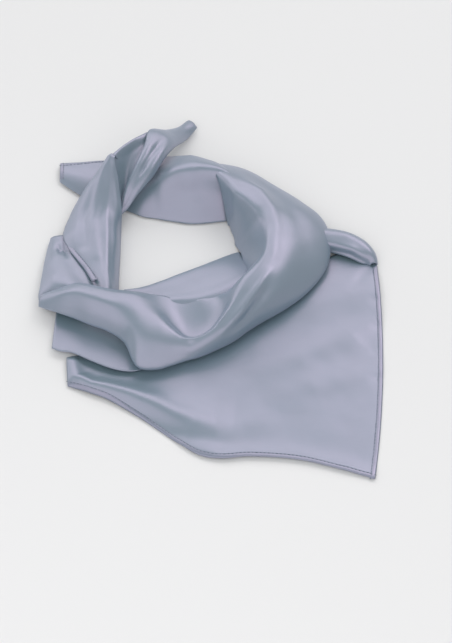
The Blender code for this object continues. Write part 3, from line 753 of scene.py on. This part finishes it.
RIGHT_TURN = (
    Section(62, 36, 92, 11, 8, 4, 5.4, 8.4, 8.4, 6.5, 1.5, 8, 0.8, 0),
    Section(75.4, 34, 90, 10.4, 8.4, 3.4, 5.4, 8.6, 8.4, 6.5, 1.5, 8, 0.8, 0),
    Section(85, 31.5, 86, 10, 9, 3, 5.5, 8.2, 8, 6.5, 1.5, 8, 0.8, 0),
    Section(93, 28, 76, 9, 9, 2.2, 5.4, 7.2, 7, 5, 1.2, 6, 0.8, 0),
    Section(98, 24, 56, 7.4, 7, 1.6, 4, 5.8, 4.6, 3.4, 0.8, 3, 0.8, 0),
    Section(100.4, 20.4, 30, 5.4, 4.4, 1.2, 2.6, 4.2, 2.6, 2.4, 0.4, 1, 0.8, 0),
    Section(101.2, 17.6, 10, 3.2, 3, 1.0, 2, 2.6, 1.6, 1.6, 0.2, 0.6, 0.8, 0),
)
TURN_FOLDS = (
    (Fold(6, -9.5, 0.5, 1.4), Fold(26, -9.5, 0.9, 1.4), Fold(38, -8, 0.4, 1.4)),
    (Fold(6, -5.5, -0.4, 2), Fold(26, -6, -1.0, 2), Fold(38, -5, -0.2, 2)),
)

right_turn = cloth_piece("right_turn_cloth", *stretch_cloth(RIGHT_TURN, TURN_FOLDS), satin)
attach(right_turn, "root")
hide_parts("right_turn")


# The rolled layers
# The rest of the square, rolled up loosely inside the back and right of the ring: it carries the
# cowl, shows only at its open ends and from below, and is pressed flat on the table.

# An upright section of the roll: half as wide as width says, flat underneath.
RollSection = namedtuple("RollSection", "x y facing width height")

ROLLED_LAYERS = (
    RollSection(-24, 85, 92, 11, 12),
    RollSection(-6, 84, 96, 11.5, 15.6),
    RollSection(13, 76, 80, 11, 17),
    RollSection(31, 62, 52, 13, 18),
    RollSection(42, 46, 30, 14, 18),
    RollSection(46, 26, 8, 14, 18),
    RollSection(41, 8, -14, 10, 15),
)
ROLL_TURNS, ROLL_STEPS = 2.1, 96    # turns of the cloth in the roll, and points round them
ROLL_STEP = 2.2                 # spacing of its sections
LAYER_GAP = 0.24                # how far each turn lies inside the last, as a share of the width
TURN_LIFT = 0.6                 # how far the innermost cloth is lifted off the turns below it


def rolled_cloth(table):
    """Points of a sheet rolled up along a stretch, and their places on it."""
    grid, places = [], []
    for along, row in even_rows(table, ROLL_STEP):
        angle = math.radians(row.facing)
        line = []
        for i in range(ROLL_STEPS + 1):
            share = i / ROLL_STEPS
            turn = -math.pi / 2 + 2 * math.pi * ROLL_TURNS * share
            size = 1 - LAYER_GAP * ROLL_TURNS * share
            out = size * row.width * math.cos(turn)
            z = row.height / 2 * (1 + size * math.sin(turn))
            z += (1 - size) * TURN_LIFT
            line.append(Vector((row.x + out * math.cos(angle), row.y + out * math.sin(angle),
                                max(z, LOWEST + share))))
        grid.append(line)
        marks = running_length(line)
        places.append([(along, mark) for mark in marks])
    return grid, places


# The rolled layers are the same satin in a darker copy: the darker tone is painted shade for cloth
# that lies inside the roll.
rolled_satin_painted_shade = woven_satin("rolled_charmeuse_painted_shade", "#5f747f", "#677b88", "#f6dcfa", 0.38)

rolled_layers = cloth_piece("rolled_cloth", *rolled_cloth(ROLLED_LAYERS), rolled_satin_painted_shade)
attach(rolled_layers, "root")
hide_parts("roll_core")


# The cowl
# The front and right of the ring: doubled satin laid over its rolled layers like a cowl neck, with
# one long ridge, a smooth outer face, a valley at the front, and a rim turned under all round.

COWL = (
    Section(1.4, 76, 110, 23.4, 26, 1, 10, 20.6, 27, 2, -0.5, 1, 1.0, 0),
    Section(3.4, 75.4, 108, 25, 26, 1, 11, 22.8, 31, 2, 1, 1, 1.0, 0),
    Section(9, 70, 98, 26.8, 22, 1, 10, 24.6, 32, 3.4, 3.2, 2, 1.0, 0),
    Section(16, 64, 80, 27, 19, 1, 10, 26.4, 33, 4, 3.6, 4, 1.0, 0),
    Section(25, 56, 58, 27, 20, 1, 9, 26.6, 30, 4, 3.3, 5, 1.0, 0),
    Section(31, 46, 36, 27.2, 20, 1, 7, 26, 33.8, 5, 3.5, 5, 1.5, 0),
    Section(33.4, 38, 25, 27.2, 18.5, 2, 5, 24.6, 38.4, 5.5, 4.4, 5.5, 2, 0.3),
    Section(34.6, 30, 14, 27.2, 17, 3.4, 3.6, 24.2, 39.8, 6.5, 4.6, 6, 2.4, 0.6),
    Section(35, 16, 0, 27.2, 15, 4.6, 2.8, 24.2, 37.4, 6, 4.6, 6, 2.4, 0.6),
    Section(33, 4, -15, 27.2, 12.5, 5.6, 2.8, 24.2, 30.5, 6, 4.6, 6, 2.4, 0.4),
    Section(28, -7, -35, 26.5, 11, 6.6, 4, 24.4, 23, 6, 5.5, 5, 2.4, 0),
    Section(22, -16, -50, 25.5, 13, 8, 5, 23.6, 18.5, 6, 5.5, 5, 2.4, 0),
    Section(16, -27, -60, 23.5, 16.5, 9.6, 6, 20.8, 14, 6, 5, 5, 2.4, 0),
    Section(9, -37.5, -68, 21, 23, 10.4, 5.5, 14.4, 11, 6, 4, 4.5, 2.4, 0),
    Section(1, -47, -76, 18, 29.5, 11.2, 5.6, 10, 7.5, 6, 3, 4, 2.4, 0),
    Section(-8, -52, -86, 16, 32.6, 11, 6, 8.8, 8, 6, 2.5, 4, 2.4, 0),
    Section(-15, -52.5, -90, 15.4, 31.6, 10.8, 7, 9.4, 10, 6, 2, 4, 2.4, 0),
    Section(-22, -48.5, -92, 16.4, 29, 11, 9, 11.6, 17, 6, 2.4, 5, 2.4, 0),
    Section(-30, -41.7, -95, 18.4, 25, 11.8, 10, 14.8, 27, 6, 3.6, 6, 2.4, 0),
    Section(-39, -37, -99, 20.2, 20, 14, 11, 17.8, 31, 7.5, 4, 6, 4.4, 0),
    Section(-48, -34, -100, 21.8, 16, 17.4, 10, 20.8, 18, 9.5, 3, 5, 7.8, 0),
    Section(-60, -31, -96, 22.8, 12.6, 19.6, 8, 21.8, 12, 10, 2, 4, 8.4, 0),
    Section(-72, -26, -95, 22.6, 11, 19.4, 7, 21.6, 11.5, 10, 2, 4, 8.4, 0),
    Section(-81.5, -21.5, -95, 21, 9.6, 18, 6, 20, 11, 10, 1.6, 4, 8.2, 0),
    Section(-91, -20, -95, 17.2, 7.6, 14.6, 4.5, 16.4, 8, 9.5, 1, 3.5, 7.6, 0),
    Section(-99, -18.8, -95, 12.5, 5.5, 11.4, 3.5, 12.4, 5, 8, 0.8, 3, 6.2, 0),
    Section(-104, -17.5, -95, 9.4, 4, 8.4, 2, 9.2, 3, 6.6, 0.5, 2, 5.4, 0),
)

COWL_FOLDS = (
    (Fold(92, 7, 0, 2), Fold(106, 8, -1.4, 2.4), Fold(124, 8, -1.4, 2.6), Fold(142, 6, 0, 2)),
    (Fold(94, 13, 0, 3), Fold(108, 13.5, 1.0, 3.4), Fold(124, 13, 1.0, 3), Fold(140, 10, 0, 2.4)),
    (Fold(18, 6, 0, 4), Fold(34, 6, -1.7, 4), Fold(48, 5, -1.4, 4), Fold(62, 5, -0.9, 3.6),
     Fold(84, 5, -0.4, 3), Fold(92, 5, 0, 3)),
    (Fold(16, 20, 0, 7), Fold(36, 18, 1.8, 7), Fold(54, 20, 1.4, 8), Fold(72, 24, 0.8, 9),
     Fold(96, 24, 0, 9)),
    (Fold(112, 2.6, 0, 2.6), Fold(136, 3, 0.9, 3), Fold(160, 3, 0.9, 3), Fold(180, 4, 0, 3)),
)

cowl = cloth_piece("cowl_cloth", *stretch_cloth(COWL, COWL_FOLDS), satin)
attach(cowl, "root")
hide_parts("cowl")


# Floor, light and camera
# A pale table, and a large softbox behind the scarf for its broad gleam, with a low one on the
# left, a small one high on the right and a canopy over the front. The camera looks down at 50
# degrees, as the photograph does.

FLOOR_SIZE = 6000
TARGET = Vector((9, -27, 0))
DISTANCE, ELEVATION = 1200, 50
IMAGE_HEIGHT = 643
SENSOR = 36.0
PIXELS_PER_MM = 1.65            # at the target


def soft_light(name, azimuth, elevation, distance, size, power):
    """A white rectangular softbox that looks at the middle of the scarf."""
    light = bpy.data.lights.new(name, "AREA")
    light.shape, light.size, light.size_y = "RECTANGLE", size[0] * MM, size[1] * MM
    light.energy = power
    lamp = bpy.data.objects.new(name, light)
    turn, rise = math.radians(azimuth), math.radians(elevation)
    away = Vector((math.cos(turn) * math.cos(rise), math.sin(turn) * math.cos(rise),
                   math.sin(rise)))
    lamp.location = away * distance * MM
    lamp.rotation_euler = away.to_track_quat("Z", "Y").to_euler()
    bpy.context.collection.objects.link(lamp)


floor_mesh = bpy.data.meshes.new("table")
half = FLOOR_SIZE * MM / 2
floor_mesh.from_pydata([(-half, -half, 0), (half, -half, 0), (half, half, 0), (-half, half, 0)],
                       [], [(0, 1, 2, 3)])
table = bpy.data.objects.new("table", floor_mesh)
bpy.context.collection.objects.link(table)
# White painted board: matt, with no pattern to be seen.
paint = bpy.data.materials.new("matt_white_paint")
paint.use_nodes = True
paint.node_tree.nodes["Principled BSDF"].inputs["Base Color"].default_value = colour("#e6e6e6")
paint.node_tree.nodes["Principled BSDF"].inputs["Roughness"].default_value = 0.8
floor_mesh.materials.append(paint)

soft_light("back_softbox", 88, 38, 2600, (4600, 1900), 38.5)
soft_light("left_softbox", 150, 14, 2200, (1600, 1100), 6)
soft_light("high_softbox", 42, 52, 1300, (560, 560), 2)
soft_light("front_canopy", -104, 45, 1000, (2100, 1200), 8)

sky = bpy.data.worlds.new("studio")
bpy.context.scene.world = sky
sky.use_nodes = True
sky.node_tree.nodes["Background"].inputs["Color"].default_value = colour("#fdfdff")
sky.node_tree.nodes["Background"].inputs["Strength"].default_value = 0.42

lens = bpy.data.cameras.new("camera")
lens.sensor_fit, lens.sensor_height = "VERTICAL", SENSOR
lens.lens = PIXELS_PER_MM * DISTANCE * SENSOR / IMAGE_HEIGHT
camera = bpy.data.objects.new("camera", lens)
rise = math.radians(ELEVATION)
away = Vector((0, -math.cos(rise), math.sin(rise)))
camera.location = (TARGET + away * DISTANCE) * MM
camera.rotation_euler = away.to_track_quat("Z", "Y").to_euler()
bpy.context.collection.objects.link(camera)
bpy.context.scene.camera = camera
bpy.context.scene.view_settings.view_transform = "Standard"
